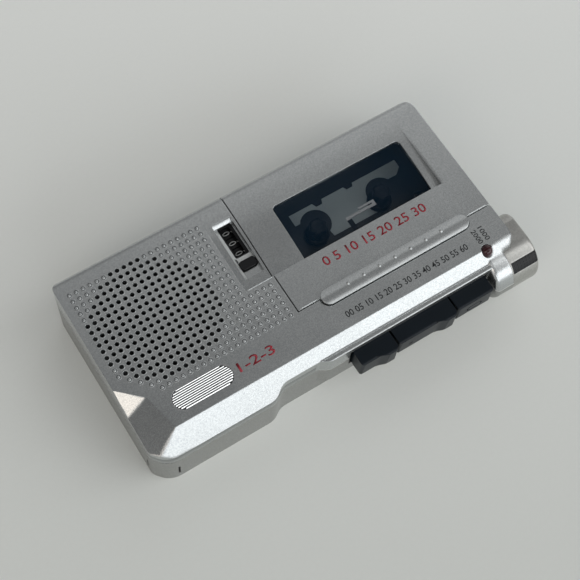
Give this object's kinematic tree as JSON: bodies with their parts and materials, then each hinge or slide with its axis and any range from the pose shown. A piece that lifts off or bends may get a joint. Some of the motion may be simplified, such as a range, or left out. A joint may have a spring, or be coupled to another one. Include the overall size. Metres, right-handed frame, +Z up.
{
  "type": "microcassette recorder",
  "caption": "Pocket microcassette recorder with a hinged windowed lid, speaker grille, tape counter, side keys, corner microphone barrel and belt-driven tape deck",
  "frame": {"origin": "centre of the cabinet's flat rear face, which rests on the table", "axes": "+X towards the microphone barrel, -Y towards the keys, +Z up out of the lid"},
  "size_m": [0.1192, 0.0622, 0.024],
  "materials": {
    "silver_paint": "silver metallic paint on moulded plastic",
    "rear_paint": "silver metallic paint on moulded plastic",
    "cap_paint": "silver metallic paint on moulded plastic",
    "bright_metal": "bright ribbed aluminium",
    "smoked_acrylic": "smoked clear acrylic",
    "lamp_lens": "dark red tinted lens",
    "black_plastic": "moulded black plastic",
    "key_plastic": "satin blue-black moulded plastic",
    "red_plastic": "moulded red plastic",
    "steel": "plain steel",
    "frame_lacquer": "black lacquered pressed steel",
    "deck_steel": "black-finished sheet steel",
    "brass": "turned brass",
    "rubber": "black rubber",
    "board": "green laminate",
    "pot_body": "brown laminate",
    "ferrite": "dark ferrite",
    "cone_paper": "black treated paper",
    "cell_sleeve": "printed steel can, unmarked"
  },
  "bodies": {
    "cabinet": {"front_cabinet": "silver_paint", "rear_cabinet": "rear_paint", "ribbed_badge": "bright_metal", "record_lamp": "lamp_lens", "microphone_cap": "cap_paint", "microphone_screen": "black_plastic", "deck_plate": "deck_steel", "battery_cells": "cell_sleeve", "battery_contacts": "steel", "speaker_frame": "frame_lacquer", "speaker_magnet": "ferrite", "speaker_cone": "cone_paper", "microphone_capsule": "steel", "microphone_grommet": "rubber", "counter_frame": "black_plastic", "counter_axle": "steel", "capstan_bearing": "brass", "drive_motor": "steel", "drive_belt": "rubber", "circuit_board": "board", "volume_pot": "pot_body", "voice_switch": "steel", "speed_switch": "steel", "earphone_jack": "black_plastic", "microphone_jack": "red_plastic", "power_jack": "black_plastic", "cabinet_screws": "steel", "deck_screws": "steel", "hinge_pin": "steel"},
    "lid": {"cassette_lid": "silver_paint", "lid_window": "smoked_acrylic", "lid_spring": "steel"},
    "hundreds": {"hundreds_wheel": "black_plastic"},
    "tens": {"tens_wheel": "black_plastic"},
    "units": {"units_wheel": "black_plastic"},
    "reset": {"reset_button": "black_plastic"},
    "stop": {"stop_key": "key_plastic"},
    "play": {"play_key": "key_plastic"},
    "record": {"record_key": "key_plastic"},
    "heads": {"head_plate": "steel", "record_head": "steel", "erase_head": "ferrite"},
    "roller": {"pinch_roller": "rubber"},
    "capstan": {"capstan_shaft": "steel", "flywheel": "brass"},
    "pulley": {"motor_pulley": "brass"},
    "idler": {"idler_wheel": "rubber"},
    "supply": {"supply_spindle": "black_plastic"},
    "takeup": {"takeup_spindle": "black_plastic"},
    "volume": {"volume_dial": "black_plastic"},
    "voice": {"voice_knob": "black_plastic"},
    "speed": {"speed_knob": "black_plastic"},
    "door": {"battery_door": "rear_paint"}
  },
  "joints": [
    {"name": "lid_hinge", "type": "hinge", "parent": "cabinet", "child": "lid", "pos_m": [0.026, 0.02585, 0.0204], "axis": [-1, 0, 0], "range_deg": [0, 70]},
    {"name": "stop_push", "type": "slide", "parent": "cabinet", "child": "stop", "axis": [0, 1, 0], "range_m": [0, 0.002], "stiffness_N_per_m": 300},
    {"name": "play_push", "type": "slide", "parent": "cabinet", "child": "play", "axis": [0, 1, 0], "range_m": [0, 0.002], "stiffness_N_per_m": 300},
    {"name": "record_push", "type": "slide", "parent": "cabinet", "child": "record", "axis": [0, 1, 0], "range_m": [0, 0.002], "stiffness_N_per_m": 300},
    {"name": "head_slide", "type": "slide", "parent": "cabinet", "child": "heads", "axis": [0, 1, 0], "range_m": [0, 0.002]},
    {"name": "roller_spin", "type": "hinge", "parent": "heads", "child": "roller", "pos_m": [0.038, -0.0115, 0.015], "axis": [0, 0, 1], "continuous": true},
    {"name": "reset_press", "type": "slide", "parent": "cabinet", "child": "reset", "axis": [0, 0, -1], "range_m": [0, 0.0009], "stiffness_N_per_m": 300},
    {"name": "pulley_spin", "type": "hinge", "parent": "cabinet", "child": "pulley", "pos_m": [-0.0096, -0.0136, 0.007], "axis": [0, 0, 1], "continuous": true},
    {"name": "flywheel_spin", "type": "hinge", "parent": "cabinet", "child": "capstan", "pos_m": [0.038, -0.006, 0.007], "axis": [0, 0, 1], "continuous": true},
    {"name": "idler_spin", "type": "hinge", "parent": "cabinet", "child": "idler", "pos_m": [0.03976, 0.00021, 0.0086], "axis": [0, 0, 1], "continuous": true},
    {"name": "takeup_spin", "type": "hinge", "parent": "cabinet", "child": "takeup", "pos_m": [0.0363, 0.009, 0.009], "axis": [0, 0, 1], "continuous": true},
    {"name": "supply_spin", "type": "hinge", "parent": "cabinet", "child": "supply", "pos_m": [0.0151, 0.009, 0.009], "axis": [0, 0, 1], "continuous": true},
    {"name": "units_turn", "type": "hinge", "parent": "cabinet", "child": "units", "pos_m": [-0.00865, 0.01195, 0.015], "axis": [0, 1, 0], "continuous": true},
    {"name": "tens_turn", "type": "hinge", "parent": "cabinet", "child": "tens", "pos_m": [-0.00865, 0.01535, 0.015], "axis": [0, 1, 0], "continuous": true},
    {"name": "hundreds_turn", "type": "hinge", "parent": "cabinet", "child": "hundreds", "pos_m": [-0.00865, 0.01875, 0.015], "axis": [0, 1, 0], "continuous": true},
    {"name": "volume_turn", "type": "hinge", "parent": "cabinet", "child": "volume", "pos_m": [-0.0143, 0.0209, 0.0054], "axis": [0, 0, 1], "range_deg": [-135, 135]},
    {"name": "voice_slide", "type": "slide", "parent": "cabinet", "child": "voice", "axis": [1, 0, 0], "range_m": [0, 0.003]},
    {"name": "speed_slide", "type": "slide", "parent": "cabinet", "child": "speed", "axis": [1, 0, 0], "range_m": [0, 0.003]},
    {"name": "door_slide", "type": "slide", "parent": "cabinet", "child": "door", "axis": [-1, 0, 0], "range_m": [0, 0.02]}
  ],
  "couplings": [
    {"joint": "head_slide", "follows": "play_push", "ratio": 1},
    {"joint": "flywheel_spin", "follows": "pulley_spin", "ratio": 0.2449},
    {"joint": "idler_spin", "follows": "pulley_spin", "ratio": -0.21609},
    {"joint": "takeup_spin", "follows": "pulley_spin", "ratio": 0.12245},
    {"joint": "units_turn", "follows": "pulley_spin", "ratio": 0.06122},
    {"joint": "tens_turn", "follows": "pulley_spin", "ratio": 0.006122},
    {"joint": "hundreds_turn", "follows": "pulley_spin", "ratio": 0.0006122}
  ]
}
